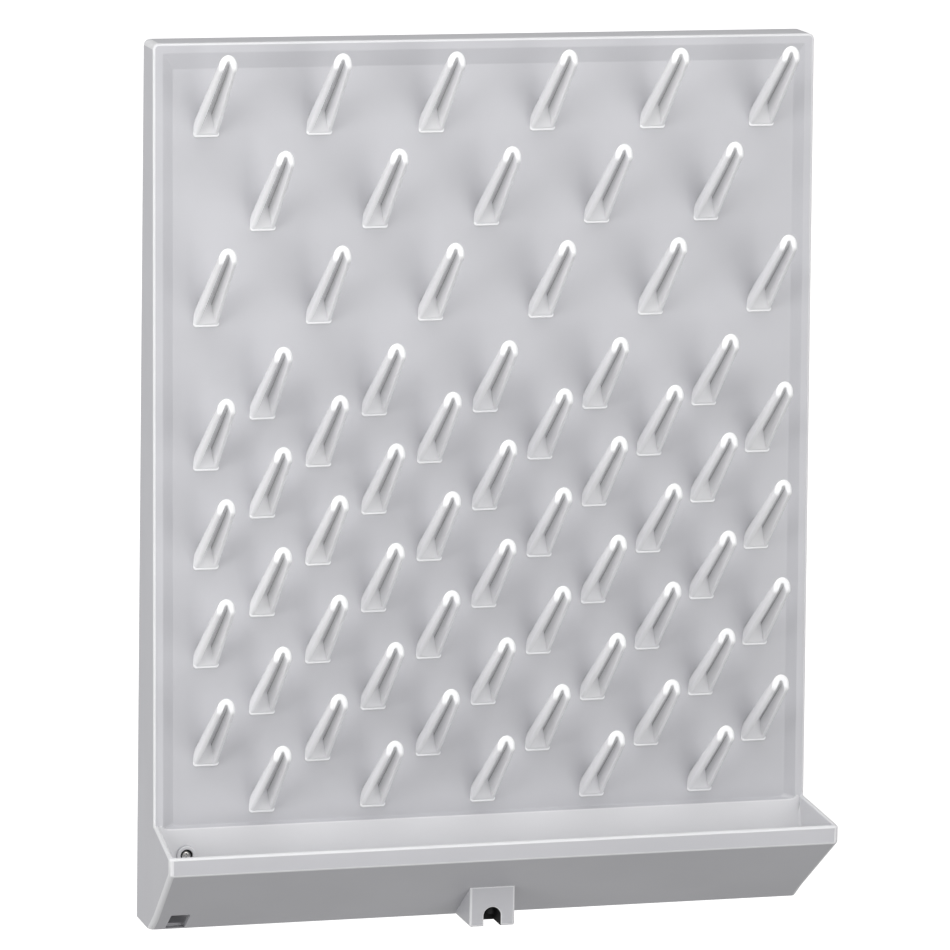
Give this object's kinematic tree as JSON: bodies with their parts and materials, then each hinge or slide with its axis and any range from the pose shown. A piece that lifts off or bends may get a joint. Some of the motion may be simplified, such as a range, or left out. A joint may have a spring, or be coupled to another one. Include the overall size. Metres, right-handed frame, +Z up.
{
  "type": "drying pegboard rack",
  "caption": "Wall-hung laboratory drying rack: moulded board with plug-in grooved pegs in staggered rows over a drip trough with a drain.",
  "frame": {"origin": "on the wall plane, midway between the centres of the two keyholes in the rack's back", "axes": "+X to the right seen from the front, +Y into the wall, +Z up"},
  "size_m": [0.458, 0.138, 0.587],
  "materials": {
    "housing": "satin moulded polystyrene, pale grey white",
    "pegs": "glossy moulded polystyrene, white",
    "screw": "bright steel"
  },
  "bodies": {
    "root": {"housing": "housing", "peg_row_01": "pegs", "peg_row_02": "pegs", "peg_row_03": "pegs", "peg_row_04": "pegs", "peg_row_05": "pegs", "peg_row_06": "pegs", "peg_row_07": "pegs", "peg_row_08": "pegs", "peg_row_09": "pegs", "peg_row_10": "pegs", "peg_row_11": "pegs", "peg_row_12": "pegs", "wall_screw": "screw"}
  },
  "joints": []
}
